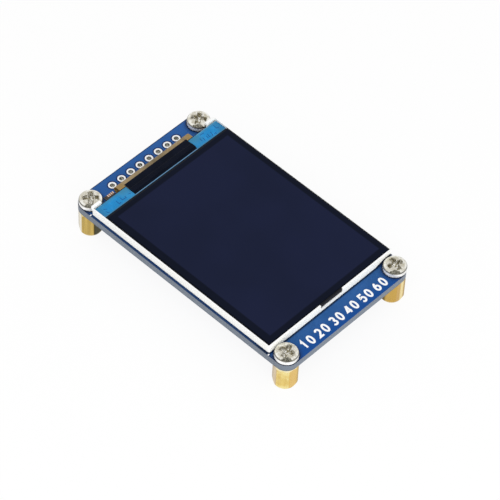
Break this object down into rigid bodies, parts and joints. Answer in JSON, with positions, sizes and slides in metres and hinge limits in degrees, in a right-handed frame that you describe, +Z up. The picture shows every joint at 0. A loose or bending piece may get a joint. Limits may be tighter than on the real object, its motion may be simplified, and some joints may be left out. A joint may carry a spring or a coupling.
{
  "type": "lcd display module",
  "caption": "Small colour display module: rectangular circuit board with a white framed glass screen, raised on brass standoffs, with a wire socket beneath and a row of header holes.",
  "frame": {"origin": "centre of the footprint, level with the feet of the standoffs", "axes": "+X across the board, +Y along it towards the header holes, +Z up out of the screen"},
  "size_m": [0.0352, 0.058, 0.0098],
  "materials": {
    "board": "blue solder mask, glossy",
    "tin": "tinned metal, satin",
    "screw_steel": "nickel plated steel",
    "brass": "turned brass, bright",
    "mount_tape": "dark double sided adhesive tape",
    "reflector": "mirror white film",
    "frame_white": "moulded white plastic, satin",
    "clear_plastic": "clear moulded plastic",
    "diffuser": "translucent optical film",
    "black_tape": "black adhesive tape",
    "polariser": "dark polarising film, smooth",
    "ledge_glass": "glass edge with a blue ledge",
    "screen_glass": "dark backed glass",
    "copper_flex": "amber covered copper strip",
    "led_white": "white lamp package",
    "chip_silicon": "polished bare chip",
    "gold_flex": "amber covered flexible strip",
    "socket_plastic": "moulded off white plastic",
    "chip_black": "moulded black plastic",
    "capacitor_tan": "fired ceramic",
    "resistor_black": "glazed ceramic"
  },
  "bodies": {
    "root": {"pcb": "board", "header_pads": "tin", "screws": "screw_steel", "standoffs": "brass", "display_tape": "mount_tape", "reflector_film": "reflector", "backlight_frame": "frame_white", "light_guide": "clear_plastic", "diffuser_film": "diffuser", "prism_film_lower": "diffuser", "prism_film_upper": "diffuser", "rim_tape": "black_tape", "lower_polariser": "polariser", "lower_glass": "ledge_glass", "upper_glass": "screen_glass", "upper_polariser": "polariser", "backlight_flex": "copper_flex", "backlight_leds": "led_white", "driver_chip": "chip_silicon", "main_flex": "gold_flex", "cover_tape": "black_tape", "flex_solder_pads": "tin", "wire_socket": "socket_plastic", "socket_pins": "tin", "socket_tabs": "tin", "level_shifter": "chip_black", "level_shifter_leads": "tin", "regulator": "chip_black", "regulator_leads": "tin", "backlight_transistor": "chip_black", "transistor_leads": "tin", "capacitors": "capacitor_tan", "capacitor_ends": "tin", "resistors": "resistor_black", "resistor_ends": "tin"}
  },
  "joints": []
}
